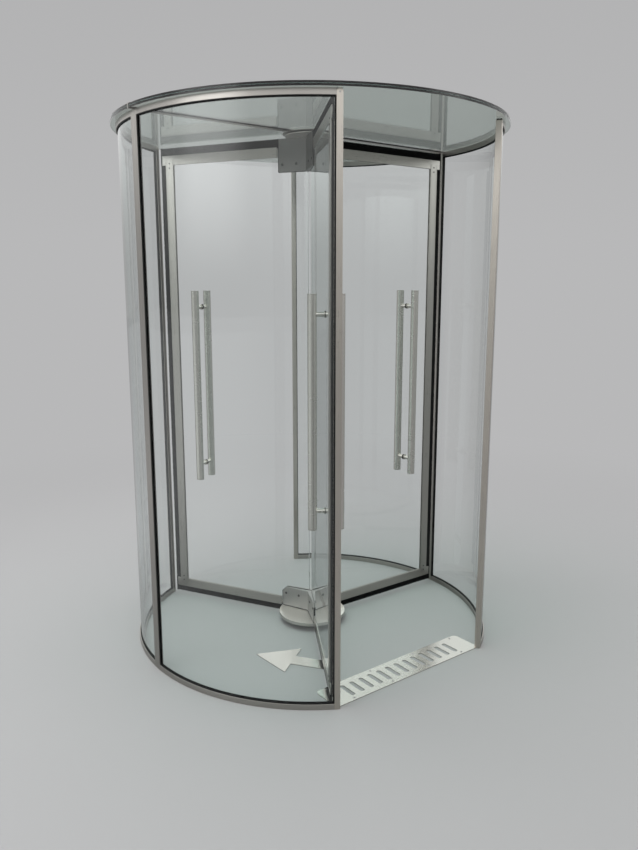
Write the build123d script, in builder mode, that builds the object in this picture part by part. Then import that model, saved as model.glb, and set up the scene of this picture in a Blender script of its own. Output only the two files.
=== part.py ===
"""Three-wing all-glass revolving door, about 1.6 m across and 2.2 m tall.

Frame: the origin is on the floor at the turning axis, +Z is up and the front
doorway faces -Y. Angles are in degrees, measured from +X, anticlockwise seen
from above. All sizes are in millimetres.
"""

import os
from math import cos, degrees, radians, sin

from build123d import *

# Drum
drum_diameter = 1600.0
clear_height = 2184.0
doorway_angle = 60.0
wall_glass_thickness = 10.0

# Steel channel that frames the curved glass: posts, mullions and rails
channel_width = 22.0
channel_wall = 3.0
channel_rounding = 1.0
post_head_rounding = 10.0
gasket_width = 4.0
glass_head_gap = 9.0
glass_edge_gap = 4.0

# Ceiling
ceiling_glass_thickness = 16.0
ceiling_overhang = 20.0
ceiling_joint_width = 24.0
ceiling_joint_web = 6.0
ceiling_joint_flange = 2.0

# Running clearance between the turning wings and everything that stands still
sweep_clearance = 6.0
ceiling_hub_clearance = 5.0
rail_hub_clearance = 6.0
pivot_clearance = 0.3
bore_clearance = 0.05

# Wings
wing_count = 3
wing_rest_turn = -1.2
wing_glass_thickness = 8.0
wing_glass_inner_reach = 14.0
wing_rail_height = 42.0
wing_rail_wall = 2.5
wing_rail_play = 0.2
wing_groove_depth = 18.0
wing_rail_setback = 12.0
brush_length = 30.0
top_brush_length = 35.0
brush_thickness = 6.0
brush_root_depth = 8.0
brush_play = 0.1
brush_joint_gap = 0.5

# Hub at the floor and at the ceiling
hub_radius = 154.0
hub_thickness = 14.0
floor_bearing_radius = 60.0
floor_bearing_height = 20.0
floor_pin_radius = 12.0
floor_pin_length = 19.7
ceiling_bearing_radius = 120.0
ceiling_bearing_thickness = 3.0
ceiling_boss_radius = 38.0
ceiling_boss_play = 0.5
ceiling_hub_radius = 110.0
ceiling_hub_thickness = 3.0
spindle_radius = 15.0
spindle_length = 23.0

# Folded clamps that grip the wings, thickest at the fold
clamp_reach = 150.0
clamp_fold_reach = 25.0
clamp_tip_thickness = 4.0
lower_clamp_height = 95.0
upper_clamp_height = 137.0
clamp_corner_cut = 20.0
cut_margin = 5.0

# Pull handles
handle_length = 900.0
handle_foot = 630.0
handle_setback = 170.0
handle_radius = 17.5
handle_wall = 2.0
handle_cap = 3.0
handle_offset = 53.0
handle_fixing_inset = 75.0
standoff_radius = 9.0
handle_bolt_radius = 6.0
handle_hole_play = 1.0

# Steel plates laid on the floor
floor_plate_thickness = 3.0
threshold_depth = 140.0
threshold_rounding = 20.0
threshold_slot_count = 13
threshold_slot_length = 84.0
threshold_slot_width = 20.0
threshold_slot_pitch = 48.0
threshold_fit = 0.5
arrow_inset = 375.0
arrow_bearing = -138.0
arrow_heading = 125.0
arrow_length = 330.0
arrow_head_length = 168.0
arrow_head_width = 208.0
arrow_shaft_width = 67.0

# Places that follow from the drum
drum_radius = drum_diameter / 2
channel_mouth = wall_glass_thickness + 2 * gasket_width
channel_depth = channel_mouth + 2 * channel_wall
frame_radius = drum_radius - channel_depth / 2
frame_inner_radius = drum_radius - channel_depth
glass_foot = channel_wall
glass_head = clear_height - glass_head_gap
mullion_width = 2 * channel_width
ceiling_radius = drum_radius + ceiling_overhang
ceiling_top = clear_height + ceiling_glass_thickness
arrow_reach = drum_radius - arrow_inset

# Post and mullion angles: front left, front right, rear right, rear left
front_left_angle = -90 - doorway_angle / 2
front_right_angle = -90 + doorway_angle / 2
rear_right_angle = 90 - doorway_angle / 2
rear_left_angle = 90 + doorway_angle / 2
left_mullion_angle = 180.0
right_mullion_angle = 0.0
uprights = [(front_left_angle, channel_width), (front_right_angle, channel_width),
            (rear_right_angle, channel_width), (rear_left_angle, channel_width),
            (left_mullion_angle, mullion_width), (right_mullion_angle, mullion_width)]
wing_names = ("front", "right", "rear")
wing_angles = [front_left_angle + wing_rest_turn + turn * 360 / wing_count
               for turn in range(wing_count)]

# Places that follow from the wings
wing_tip_reach = frame_inner_radius - sweep_clearance
wing_tip_top = clear_height - ceiling_joint_flange - sweep_clearance
wing_tip_foot = floor_plate_thickness + sweep_clearance
stile_outer_reach = wing_tip_reach - brush_length
stile_inner_reach = stile_outer_reach - wing_rail_height
rail_outer_reach = wing_tip_reach - wing_rail_setback
bottom_rail_foot = wing_tip_foot + brush_length
bottom_rail_top = bottom_rail_foot + wing_rail_height
top_rail_top = wing_tip_top - top_brush_length
top_rail_foot = top_rail_top - wing_rail_height
wing_rail_thickness = wing_glass_thickness + 2 * (wing_rail_play + wing_rail_wall)
glass_groove_width = wing_glass_thickness + 2 * wing_rail_play
brush_groove_width = brush_thickness + 2 * brush_play
wing_glass_foot = bottom_rail_top - wing_groove_depth
wing_glass_top = top_rail_foot + wing_groove_depth
wing_glass_outer_reach = stile_inner_reach + wing_groove_depth
handle_reach = stile_outer_reach - handle_setback
rail_inner_reach = hub_radius + rail_hub_clearance

# Places that follow from the hub
hub_foot = floor_bearing_height + sweep_clearance
hub_top = hub_foot + hub_thickness
ceiling_bearing_foot = clear_height - ceiling_bearing_thickness
ceiling_hub_top = ceiling_bearing_foot - ceiling_hub_clearance
ceiling_hub_foot = ceiling_hub_top - ceiling_hub_thickness
clamp_face = wing_glass_thickness / 2
clamp_tip = clamp_face + clamp_tip_thickness
handle_fixing_heights = (handle_foot + handle_fixing_inset,
                         handle_foot + handle_length - handle_fixing_inset)


def polar(reach, angle, height=0.0):
    """Point at a distance from the axis, an angle and a height."""
    return (reach * cos(radians(angle)), reach * sin(radians(angle)), height)


def upright_plane(angle):
    """Upright plane through the axis: x runs outwards and y up."""
    return Plane(origin=(0, 0, 0), x_dir=polar(1, angle), z_dir=polar(1, angle - 90))


def facing_plane(angle, reach):
    """Upright plane across a radius, facing outwards: x runs sideways and y up."""
    return Plane(origin=polar(reach, angle), x_dir=polar(1, angle + 90), z_dir=polar(1, angle))


def level_plane(angle, height, reach=0.0):
    """Level plane whose x runs outwards at an angle."""
    return Plane(origin=polar(reach, angle, height), x_dir=polar(1, angle), z_dir=(0, 0, 1))


def save(piece, label):
    """Name a finished piece and write it."""
    piece.part.label = label
    export_step(piece.part, f"parts/{label}.step")


def make_rails(label, bays, foot, mouth_up):
    """Curved channels between the uprights of one wall, with the mouth up or down."""
    with BuildPart() as rails:
        for start, end in bays:
            with BuildSketch(upright_plane(start)):
                with Locations((frame_radius, foot + channel_width / 2)):
                    RectangleRounded(channel_depth, channel_width, channel_rounding)
                    with Locations((0, channel_wall if mouth_up else -channel_wall)):
                        Rectangle(channel_mouth, channel_width, mode=Mode.SUBTRACT)
            revolve(axis=Axis.Z, revolution_arc=end - start)
        with BuildSketch(Plane.XY.offset(foot)):
            for angle, width in uprights:
                with PolarLocations(frame_radius, 1, start_angle=angle):
                    Rectangle(channel_depth + channel_wall, width)
        extrude(amount=channel_width, mode=Mode.SUBTRACT)
    save(rails, label)


def make_wall_glass(label, post_angle, mullion_angle):
    """Curved pane held in the post, the mullion and both rails."""
    side = 1 if mullion_angle > post_angle else -1
    mullion_hold = mullion_width / 2 - channel_width + channel_wall + glass_edge_gap
    start = post_angle - side * degrees(glass_edge_gap / frame_radius)
    end = mullion_angle - side * degrees(mullion_hold / frame_radius)
    with BuildPart() as pane:
        with BuildSketch(upright_plane(min(start, end))):
            with Locations((frame_radius, (glass_foot + glass_head) / 2)):
                Rectangle(wall_glass_thickness, glass_head - glass_foot)
        revolve(axis=Axis.Z, revolution_arc=abs(end - start))
    save(pane, label)


def make_post(label, angle, glass_side):
    """Opening-edge post: an upright channel with a rounded head, its mouth towards the glass."""
    with BuildPart() as post:
        with BuildSketch(level_plane(angle, 0, frame_radius)):
            RectangleRounded(channel_depth, channel_width, channel_rounding)
            with Locations((0, glass_side * channel_wall)):
                Rectangle(channel_mouth, channel_width, mode=Mode.SUBTRACT)
        extrude(amount=clear_height)
        with BuildSketch(facing_plane(angle, frame_inner_radius)) as outline:
            with Locations((0, clear_height / 2)):
                Rectangle(channel_width, clear_height)
            head_corners = outline.vertices().group_by(Axis.Y)[-1]
            fillet(head_corners, post_head_rounding)
        extrude(amount=channel_depth, mode=Mode.INTERSECT)
    save(post, label)


def make_mullion(label, angle):
    """Two upright channels back to back, where two panes of one wall meet."""
    with BuildPart() as mullion:
        with BuildSketch(level_plane(angle, 0, frame_radius)):
            for side in (-1, 1):
                with Locations((0, side * channel_width / 2)):
                    RectangleRounded(channel_depth, channel_width, channel_rounding)
                with Locations((0, side * (channel_width / 2 + channel_wall))):
                    Rectangle(channel_mouth, channel_width, mode=Mode.SUBTRACT)
        extrude(amount=clear_height)
    save(mullion, label)


def make_ceiling_glass(label, side):
    """Half of the laminated ceiling disc, with room for the joint and the bearing boss."""
    with BuildPart() as half:
        with BuildSketch(Plane.XY.offset(clear_height)):
            Circle(ceiling_radius)
            Circle(ceiling_boss_radius + ceiling_boss_play, mode=Mode.SUBTRACT)
            with Locations((0, side * (ceiling_joint_web / 2 - ceiling_radius))):
                Rectangle(2 * ceiling_radius, 2 * ceiling_radius, mode=Mode.SUBTRACT)
        extrude(amount=ceiling_glass_thickness)
    save(half, label)


def make_ceiling_joint():
    """Slim I-shaped bars between the two halves of the ceiling disc."""
    boss_reach = ceiling_boss_radius + ceiling_boss_play
    flange_reach = ceiling_bearing_radius + ceiling_boss_play
    with BuildPart() as joint:
        for angle in (left_mullion_angle, right_mullion_angle):
            with BuildSketch(facing_plane(angle, boss_reach)):
                with Locations((0, clear_height + ceiling_glass_thickness / 2)):
                    Rectangle(ceiling_joint_web, ceiling_glass_thickness)
                with Locations((0, ceiling_top + ceiling_joint_flange / 2)):
                    Rectangle(ceiling_joint_width, ceiling_joint_flange)
            extrude(amount=ceiling_radius - boss_reach)
            with BuildSketch(facing_plane(angle, flange_reach)):
                with Locations((0, clear_height - ceiling_joint_flange / 2)):
                    Rectangle(ceiling_joint_width, ceiling_joint_flange)
            extrude(amount=frame_inner_radius - flange_reach)
    save(joint, "ceiling_joint_bar")


def make_ceiling_bearing():
    """Fixed round plate under the ceiling glass, with a boss through its centre."""
    bore_top = ceiling_hub_top + spindle_length + pivot_clearance
    with BuildPart() as bearing:
        with BuildSketch(Plane.XY.offset(ceiling_bearing_foot)):
            Circle(ceiling_bearing_radius)
        extrude(amount=ceiling_bearing_thickness)
        with BuildSketch(Plane.XY.offset(clear_height)):
            Circle(ceiling_boss_radius)
        extrude(amount=ceiling_glass_thickness)
        with BuildSketch(Plane.XY.offset(ceiling_bearing_foot)):
            Circle(spindle_radius + bore_clearance)
        extrude(amount=bore_top - ceiling_bearing_foot, mode=Mode.SUBTRACT)
    save(bearing, "ceiling_bearing")


def make_floor_bearing():
    """Fixed round housing on the floor that carries the turning hub."""
    bore_foot = hub_foot - floor_pin_length - pivot_clearance
    with BuildPart() as bearing:
        with BuildSketch(Plane.XY):
            Circle(floor_bearing_radius)
        extrude(amount=floor_bearing_height)
        with BuildSketch(Plane.XY.offset(bore_foot)):
            Circle(floor_pin_radius + bore_clearance)
        extrude(amount=floor_bearing_height - bore_foot, mode=Mode.SUBTRACT)
    save(bearing, "floor_bearing")


def make_threshold_plate():
    """Flat steel plate between the front posts, with a row of plain slots."""
    outer_edge = frame_radius * cos(radians(doorway_angle / 2)) + channel_wall
    half_length = frame_radius * sin(radians(doorway_angle / 2))
    middle = -(outer_edge - threshold_depth / 2)
    with BuildPart() as plate:
        with BuildSketch(Plane.XY) as outline:
            with Locations((0, middle)):
                Rectangle(2 * half_length, threshold_depth)
            inner_corners = outline.vertices().group_by(Axis.Y)[-1]
            fillet(inner_corners, threshold_rounding)
            with Locations((0, middle)):
                with GridLocations(threshold_slot_pitch, 0, threshold_slot_count, 1):
                    SlotOverall(threshold_slot_length, threshold_slot_width, rotation=90,
                                mode=Mode.SUBTRACT)
            for angle in (front_left_angle, front_right_angle):
                with PolarLocations(frame_radius, 1, start_angle=angle):
                    Rectangle(channel_depth + 2 * threshold_fit, channel_width + 2 * threshold_fit,
                              mode=Mode.SUBTRACT)
        extrude(amount=floor_plate_thickness)
    save(plate, "threshold_plate")


def make_direction_arrow():
    """Flat steel arrow on the floor that shows which way the wings turn."""
    centre = polar(arrow_reach, arrow_bearing)
    tip = arrow_length / 2
    head_base = tip - arrow_head_length
    with BuildPart() as arrow:
        with BuildSketch(Plane(origin=centre, x_dir=polar(1, arrow_heading), z_dir=(0, 0, 1))):
            with BuildLine():
                Polyline((tip, 0), (head_base, arrow_head_width / 2),
                         (head_base, -arrow_head_width / 2), close=True)
            make_face()
            with Locations(((head_base - tip) / 2, 0)):
                Rectangle(arrow_length - arrow_head_length, arrow_shaft_width)
        extrude(amount=floor_plate_thickness)
    save(arrow, "direction_arrow")


def make_wing_glass(label, angle):
    """Flat pane of one wing, drilled for its pull handles."""
    with BuildPart() as pane:
        with BuildSketch(upright_plane(angle)):
            with Locations(((wing_glass_inner_reach + wing_glass_outer_reach) / 2,
                            (wing_glass_foot + wing_glass_top) / 2)):
                Rectangle(wing_glass_outer_reach - wing_glass_inner_reach,
                          wing_glass_top - wing_glass_foot)
            with Locations(*[(handle_reach, height) for height in handle_fixing_heights]):
                Circle(handle_bolt_radius + handle_hole_play, mode=Mode.SUBTRACT)
        extrude(amount=wing_glass_thickness / 2, both=True)
    save(pane, label)


def make_wing_rail(label, angle, foot, glass_above):
    """Straight wing rail: a groove for the glass on one edge, one for the brush on the other."""
    middle = foot + wing_rail_height / 2
    reach_to_edge = wing_rail_height / 2 * (1 if glass_above else -1)
    groove = wing_groove_depth * (1 if glass_above else -1)
    root = brush_root_depth * (1 if glass_above else -1)
    with BuildPart() as rail:
        with BuildSketch(facing_plane(angle, rail_inner_reach)):
            with Locations((0, middle)):
                RectangleRounded(wing_rail_thickness, wing_rail_height, channel_rounding)
            with Locations((0, middle + reach_to_edge - groove / 2)):
                Rectangle(glass_groove_width, wing_groove_depth, mode=Mode.SUBTRACT)
            with Locations((0, middle - reach_to_edge + root / 2)):
                Rectangle(brush_groove_width, brush_root_depth, mode=Mode.SUBTRACT)
        extrude(amount=rail_outer_reach - rail_inner_reach)
    save(rail, label)


def make_wing_stile(label, angle):
    """Upright at the outer edge of a wing, between its two rails."""
    middle = (stile_inner_reach + stile_outer_reach) / 2
    with BuildPart() as stile:
        with BuildSketch(level_plane(angle, bottom_rail_top)):
            with Locations((middle, 0)):
                RectangleRounded(wing_rail_height, wing_rail_thickness, channel_rounding)
            with Locations((stile_inner_reach + wing_groove_depth / 2, 0)):
                Rectangle(wing_groove_depth, glass_groove_width, mode=Mode.SUBTRACT)
            with Locations((stile_outer_reach - brush_root_depth / 2, 0)):
                Rectangle(brush_root_depth, brush_groove_width, mode=Mode.SUBTRACT)
        extrude(amount=top_rail_foot - bottom_rail_top)
    save(stile, label)


def make_wing_brushes(label, angle):
    """Brush seals above, below and beside one wing, rooted in its rails and stile."""
    level_end = rail_outer_reach - brush_joint_gap
    top_start = ceiling_bearing_radius + sweep_clearance
    bottom_root = bottom_rail_foot + brush_root_depth
    top_root = top_rail_top - brush_root_depth
    side_root = stile_outer_reach - brush_root_depth
    with BuildPart() as brushes:
        with BuildSketch(upright_plane(angle)):
            for start, foot, top in ((rail_inner_reach, wing_tip_foot, bottom_root),
                                     (top_start, top_root, wing_tip_top)):
                with Locations(((start + level_end) / 2, (foot + top) / 2)):
                    Rectangle(level_end - start, top - foot)
            with Locations(((side_root + wing_tip_reach) / 2,
                            (bottom_rail_top + top_rail_foot) / 2)):
                Rectangle(wing_tip_reach - side_root, top_rail_foot - bottom_rail_top)
            with Locations(((rail_outer_reach + wing_tip_reach) / 2,
                            (wing_tip_foot + wing_tip_top) / 2)):
                Rectangle(wing_rail_setback, wing_tip_top - wing_tip_foot)
        extrude(amount=brush_thickness / 2, both=True)
    save(brushes, label)


def make_handles(label, angle):
    """Pull handles on both faces of one wing, bolted together through the glass."""
    with BuildPart() as handles:
        with BuildSketch(level_plane(angle, handle_foot)):
            with Locations((handle_reach, -handle_offset), (handle_reach, handle_offset)):
                Circle(handle_radius)
        extrude(amount=handle_length)
        for side in (-1, 1):
            with BuildSketch(upright_plane(angle).offset(side * wing_glass_thickness / 2)):
                with Locations(*[(handle_reach, height) for height in handle_fixing_heights]):
                    Circle(standoff_radius)
            extrude(amount=side * (handle_offset - wing_glass_thickness / 2))
        with BuildSketch(upright_plane(angle)):
            with Locations(*[(handle_reach, height) for height in handle_fixing_heights]):
                Circle(handle_bolt_radius)
        extrude(amount=handle_offset, both=True)
        with BuildSketch(level_plane(angle, handle_foot + handle_cap)):
            with Locations((handle_reach, -handle_offset), (handle_reach, handle_offset)):
                Circle(handle_radius - handle_wall)
        extrude(amount=handle_length - 2 * handle_cap, mode=Mode.SUBTRACT)
    save(handles, label)


def make_clamps(label, foot, height, cut_corners):
    """Folded clamps, one in each angle between two wings, that grip the glass."""
    half_turn = 180 / wing_count
    along, across = cos(radians(half_turn)), sin(radians(half_turn))
    face_end = (clamp_reach * along + clamp_face * across, clamp_reach * across - clamp_face * along)
    tip_end = (clamp_reach * along + clamp_tip * across, clamp_reach * across - clamp_tip * along)
    top = foot + height
    past_end = clamp_reach + cut_margin
    with BuildPart() as clamps:
        for wing_angle in wing_angles:
            with BuildSketch(level_plane(wing_angle + half_turn, foot)):
                with BuildLine():
                    Polyline((clamp_face / across, 0), face_end, tip_end, (clamp_fold_reach, 0),
                             (tip_end[0], -tip_end[1]), (face_end[0], -face_end[1]), close=True)
                make_face()
            extrude(amount=height)
        if cut_corners:
            for wing_angle in wing_angles:
                with BuildSketch(upright_plane(wing_angle)):
                    with BuildLine():
                        Polyline((clamp_reach - clamp_corner_cut - cut_margin, top + cut_margin),
                                 (past_end, top + cut_margin),
                                 (past_end, top - clamp_corner_cut - cut_margin), close=True)
                    make_face()
                extrude(amount=clamp_fold_reach, both=True, mode=Mode.SUBTRACT)
    save(clamps, label)


def make_floor_hub():
    """Turning disc above the floor bearing, with the pin that runs in it."""
    with BuildPart() as hub:
        with BuildSketch(Plane.XY.offset(hub_foot)):
            Circle(hub_radius)
        extrude(amount=hub_thickness)
        with BuildSketch(Plane.XY.offset(hub_foot)):
            Circle(floor_pin_radius)
        extrude(amount=-floor_pin_length)
    save(hub, "floor_hub_disc")


def make_ceiling_hub():
    """Turning disc under the ceiling bearing, with the spindle that runs in it."""
    with BuildPart() as hub:
        with BuildSketch(Plane.XY.offset(ceiling_hub_foot)):
            Circle(ceiling_hub_radius)
        extrude(amount=ceiling_hub_thickness)
        with BuildSketch(Plane.XY.offset(ceiling_hub_top)):
            Circle(spindle_radius)
        extrude(amount=spindle_length)
    save(hub, "ceiling_hub_disc")


os.makedirs("parts", exist_ok=True)

# Curved walls and their frames
left_bays = [(rear_left_angle, left_mullion_angle),
             (left_mullion_angle, front_left_angle + 360)]
right_bays = [(front_right_angle, right_mullion_angle),
              (right_mullion_angle, rear_right_angle)]
for side_name, bays in (("left", left_bays), ("right", right_bays)):
    make_rails(f"{side_name}_base_rail", bays, 0, mouth_up=True)
    make_rails(f"{side_name}_top_rail", bays, clear_height - channel_width, mouth_up=False)
make_wall_glass("front_left_wall_glass", front_left_angle + 360, left_mullion_angle)
make_wall_glass("rear_left_wall_glass", rear_left_angle, left_mullion_angle)
make_wall_glass("front_right_wall_glass", front_right_angle, right_mullion_angle)
make_wall_glass("rear_right_wall_glass", rear_right_angle, right_mullion_angle)
make_post("front_left_post", front_left_angle, glass_side=-1)
make_post("front_right_post", front_right_angle, glass_side=1)
make_post("rear_right_post", rear_right_angle, glass_side=-1)
make_post("rear_left_post", rear_left_angle, glass_side=1)
make_mullion("left_mullion", left_mullion_angle)
make_mullion("right_mullion", right_mullion_angle)

# Ceiling and floor fittings
make_ceiling_glass("front_ceiling_glass", side=1)
make_ceiling_glass("rear_ceiling_glass", side=-1)
make_ceiling_joint()
make_ceiling_bearing()
make_floor_bearing()
make_threshold_plate()
make_direction_arrow()

# Turning wings
for wing_name, wing_angle in zip(wing_names, wing_angles):
    make_wing_glass(f"{wing_name}_wing_glass", wing_angle)
    make_wing_rail(f"{wing_name}_wing_bottom_rail", wing_angle, bottom_rail_foot, glass_above=True)
    make_wing_rail(f"{wing_name}_wing_top_rail", wing_angle, top_rail_foot, glass_above=False)
    make_wing_stile(f"{wing_name}_wing_stile", wing_angle)
    make_wing_brushes(f"{wing_name}_wing_brushes", wing_angle)
    make_handles(f"{wing_name}_wing_handles", wing_angle)
make_clamps("lower_wing_clamps", hub_top, lower_clamp_height, cut_corners=True)
make_clamps("upper_wing_clamps", ceiling_hub_foot - upper_clamp_height, upper_clamp_height,
            cut_corners=False)
make_floor_hub()
make_ceiling_hub()
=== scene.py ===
"""Visual model of a three-wing all-glass revolving door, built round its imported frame.

The frame gives every steel and glass part its place. This script gives them their
finish and adds what the frame leaves out: rubber gaskets in the channels, bristle
seals on the wings, rubber strips along the clamps, seals and tape under the ceiling
glass, the faces of the stiles, and the screws, washers and cap seams. All sizes are in
metres. The origin is on the floor at the turning axis, +Z is up and the front doorway
faces -Y.
"""

import math

import bpy
from bpy.props import FloatProperty, FloatVectorProperty, IntProperty, PointerProperty
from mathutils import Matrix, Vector


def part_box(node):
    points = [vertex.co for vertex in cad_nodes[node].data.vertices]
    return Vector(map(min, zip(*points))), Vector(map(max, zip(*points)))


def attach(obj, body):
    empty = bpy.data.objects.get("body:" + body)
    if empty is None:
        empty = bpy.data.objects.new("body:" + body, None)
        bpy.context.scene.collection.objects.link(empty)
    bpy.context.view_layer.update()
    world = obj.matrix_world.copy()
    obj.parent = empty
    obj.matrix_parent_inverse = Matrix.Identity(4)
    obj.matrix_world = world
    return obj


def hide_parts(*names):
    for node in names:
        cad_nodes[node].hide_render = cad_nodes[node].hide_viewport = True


bl_info = {
    "name": "Revolving door",
    "version": (1, 0, 0),
    "blender": (4, 5, 0),
    "location": "3D View > Sidebar > Revolving door",
    "description": "Finishes, seals and screws of an all-glass revolving door",
    "category": "Object",
}

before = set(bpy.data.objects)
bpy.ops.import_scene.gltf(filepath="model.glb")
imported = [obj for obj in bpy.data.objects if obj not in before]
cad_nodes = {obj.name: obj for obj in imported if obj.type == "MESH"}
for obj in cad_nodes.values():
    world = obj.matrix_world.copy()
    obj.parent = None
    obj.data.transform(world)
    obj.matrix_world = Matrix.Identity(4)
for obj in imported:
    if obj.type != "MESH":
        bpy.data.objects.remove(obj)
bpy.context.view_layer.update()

# Drum: walls, channels, and the angles of the posts and panes in degrees
WALL_RADIUS = 0.788
CHANNEL_WIDTH = 0.022
CHANNEL_WALL = 0.003
POSTS = (-120, -60, 60, 120)
PANES = {"left": ((-180, -120), (120, 180)), "right": ((-60, 0), (0, 60))}
GASKET_OFFSET = 0.007
GASKET_TUCK = 0.003
GASKET_END = 0.0035

# Ceiling: each joint seal has its height, its start and its end from the axis
CEILING_RADIUS = 0.820
CEILING_FOOT = 2.184
CEILING_TOP = 2.200
JOINT_EDGE = 0.0035
JOINT_SEAL_ASIDE = 0.0135
JOINT_SEALS = ((CEILING_FOOT - 0.001, 0.124, 0.775), (CEILING_TOP + 0.001, 0.041, 0.818))
TAPE_THICKNESS = 0.0004
TAPE_HEIGHT = CEILING_FOOT + 0.0003
TAPE_CLEARANCE = 0.0145
TAPE_INSET = 0.0006
BEARING_TAPE = (0.09, 0.239)

# Wings: angles in degrees, heights of the rails, reaches from the axis
WINGS = {"front": -121.2, "right": -1.2, "rear": 118.8}
WING_FOOT = 0.009
WING_TOP = 2.176
WING_TIP = 0.770
BOTTOM_RAIL = (0.039, 0.081)
TOP_RAIL = (2.099, 2.141)
RAIL_START = 0.160
RAIL_END = 0.758
RAIL_FACE = 0.0067
STILE_END = 0.740
STILE_MIDDLE = 0.719
STILE_FACE = 0.001
STILE_LAP = (0.027, 0.022)
STILE_BEDDING = 0.0001
STILE_INSET = 0.0004
HALF_PANE = 0.004
BRISTLE_ROOT = 0.004
BRISTLE_END = 0.001
TIP_BRISTLES_START = RAIL_END + 0.0002
TOP_BRISTLES_START = 0.127

# Clamps: their plates run from the fold near the axis to a tip along the pane
CLAMP_REACH = 0.150
CLAMP_CUT = 0.020
CLAMP_TIP = 0.008
CLAMP_FOLD = (0.0125, 0.02165)
LOWER_CLAMPS = (0.040, 0.135)
UPPER_CLAMPS = (2.036, 2.173)
LINER_START = 0.016
LINER_SHOWS = 0.0004
STRIP_END = 0.001
FOOT_STRIP_HEIGHT = LOWER_CLAMPS[0] + 0.0013
END_STRIP_REACH = CLAMP_REACH + 0.0017

# Handles, and how far a lining on the glass and a collar on a washer lie from the pane's
# middle
HANDLE_REACH = 0.570
HANDLE_OFFSET = 0.053
HANDLE_HEIGHTS = (0.705, 1.455)
HANDLE_ENDS = (0.630, 1.530)
CAP_LENGTH = 0.004
ON_GLASS = HALF_PANE + 0.00055
ON_WASHER = HALF_PANE + 0.0026

# Screws: how deep a head sits in its plate, and the places of the heads
SCREW_SEAT = 0.0001
CLAMP_SCREW_REACHES = (0.062, 0.132)
CLAMP_SCREW_HEIGHTS = (0.104, 2.067)
STILE_SCREW_HEIGHTS = (TOP_RAIL[0] - 0.013, TOP_RAIL[0] + 0.007,
                       BOTTOM_RAIL[1] + 0.013, BOTTOM_RAIL[1] - 0.007)
POST_SCREW = (WALL_RADIUS + 0.0119, CEILING_FOOT - 0.012)
BEARING_SCREW = (0.095, CEILING_FOOT - 0.0029)
THRESHOLD_EDGE = 0.012
THRESHOLD_FRONT = (-0.30, -0.10, 0.10, 0.30)
THRESHOLD_REAR = (-0.35, -0.12, 0.12, 0.35)

# Grain of the steel in lines per metre, and the depth of the finest
ACROSS = 900.0
ALONG = 14.0
FINE_GRAIN = 0.00001

# Stage: the tall lights that steel mirrors have their angle, half width and brightness,
# the lamps their place, target, size and share of the lamp power
FLOOR_HALF = 30.0
FLOOR_LEVEL = -0.0004
# Angle of the painted bright patch that the floor shows only in steel and glass
PAINTED_BRIGHT_PATCH_ANGLE = 165.0
TALL_LIGHTS = ((177.0, 16.0, 1.3), (-48.0, 11.0, 0.8))
LAMPS = {
    "top_lamp": ((-0.6, 0.2, 5.2), (0, 0, 0.8), (3.4, 3.4), 1.0),
    "left_lamp": ((-4.4, 0.2, 1.8), (0, 0, 1.3), (2.2, 3.4), 0.2),
    "right_lamp": ((3.4, -3.8, 1.8), (0, 0, 1.3), (1.6, 3.4), 0.1),
}
CAMERA_PLACE = (-2.0192, -2.7045, 1.5786)
CAMERA_PITCH, CAMERA_YAW, CAMERA_ROLL = 10.851, 37.320, 0.035
UP = Vector((0, 0, 1))


def around(reach, angle, height, aside=0.0):
    """Point at a reach from the axis, an angle in degrees, a height and a step aside."""
    turn = math.radians(angle)
    return Vector((reach * math.cos(turn) - aside * math.sin(turn),
                   reach * math.sin(turn) + aside * math.cos(turn), height))


def heading(angle):
    """Level unit vector at an angle in degrees."""
    return around(1.0, angle, 0.0)


def arc(reach, start, end, height, steps=48):
    """Points along a level arc."""
    return [around(reach, start + (end - start) * index / steps, height)
            for index in range(steps + 1)]


def outwards(lines):
    """Level unit vectors from the axis through every point of some lines."""
    return [Vector((point.x, point.y, 0)).normalized() for line in lines for point in line]


def degrees_along(length, radius):
    """Angle that a length takes up on a circle."""
    return math.degrees(length / radius)


def wing_faces():
    """Angle of each wing, with -1 and 1 for its two faces."""
    return [(angle, side) for angle in WINGS.values() for side in (-1, 1)]


def of_wings(part):
    """Names of the same part on all wings."""
    return [f"{wing}_wing_{part}" for wing in WINGS]


# Nodes of materials and shapes


def add(tree, kind, inputs=None, **settings):
    """Add a node with its settings; an input takes a value, a link or a list of links."""
    node = tree.nodes.new(kind)
    for name, value in settings.items():
        setattr(node, name, value)
    for key, value in (inputs or {}).items():
        for entry in value if isinstance(value, list) else [value]:
            if isinstance(entry, bpy.types.NodeSocket):
                tree.links.new(entry, node.inputs[key])
            else:
                node.inputs[key].default_value = entry
    return node


def step(tree, kind, inputs=None, output=0, **settings):
    """Add a node and give one of its outputs."""
    return add(tree, kind, inputs, **settings).outputs[output]


def arithmetic(tree, operation, first, second=0.0):
    """One step of arithmetic on two values."""
    return step(tree, "ShaderNodeMath", {0: first, 1: second}, operation=operation)


def times(tree, first, second):
    """Product of two values."""
    return arithmetic(tree, "MULTIPLY", first, second)


def on_vectors(tree, operation, *vectors):
    """One step of arithmetic on vectors."""
    output = "Value" if operation in ("LENGTH", "DOT_PRODUCT") else "Vector"
    inputs = dict(enumerate(vectors))
    return step(tree, "ShaderNodeVectorMath", inputs, output, operation=operation)


def vector(tree, x=0.0, y=0.0, z=0.0):
    """Vector from three values."""
    return step(tree, "ShaderNodeCombineXYZ", {0: x, 1: y, 2: z})


def ramp(tree, value, low, high, to_low=0.0, to_high=1.0, smooth=False):
    """Spread a value from one range over another."""
    kind = "SMOOTHSTEP" if smooth else "LINEAR"
    inputs = {"Value": value, "From Min": low, "From Max": high,
              "To Min": to_low, "To Max": to_high}
    return step(tree, "ShaderNodeMapRange", inputs, "Result", interpolation_type=kind)


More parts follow.
